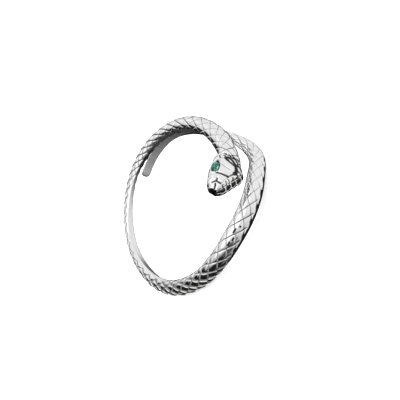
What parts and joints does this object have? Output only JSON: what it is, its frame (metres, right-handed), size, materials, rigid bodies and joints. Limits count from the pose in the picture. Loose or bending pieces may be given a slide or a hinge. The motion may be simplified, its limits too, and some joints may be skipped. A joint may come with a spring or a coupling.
{
  "type": "snake ring",
  "caption": "Open bypass finger ring shaped as a coiled snake: scaled band, plated head, thin tail, and a small green cut stone for an eye.",
  "frame": {"origin": "on the axis of the finger hole, at the level of the surface that the ring lies on", "axes": "+Z along the finger, up from that surface; +X towards the side where the head points; +Y towards the neck"},
  "size_m": [0.0197, 0.0198, 0.0078],
  "materials": {
    "silver": "polished sterling silver, darker in the grooves between the scales",
    "green_stone": "polished facets, deep green"
  },
  "bodies": {
    "root": {"ring_body": "silver", "eye_stone": "green_stone"}
  },
  "joints": []
}
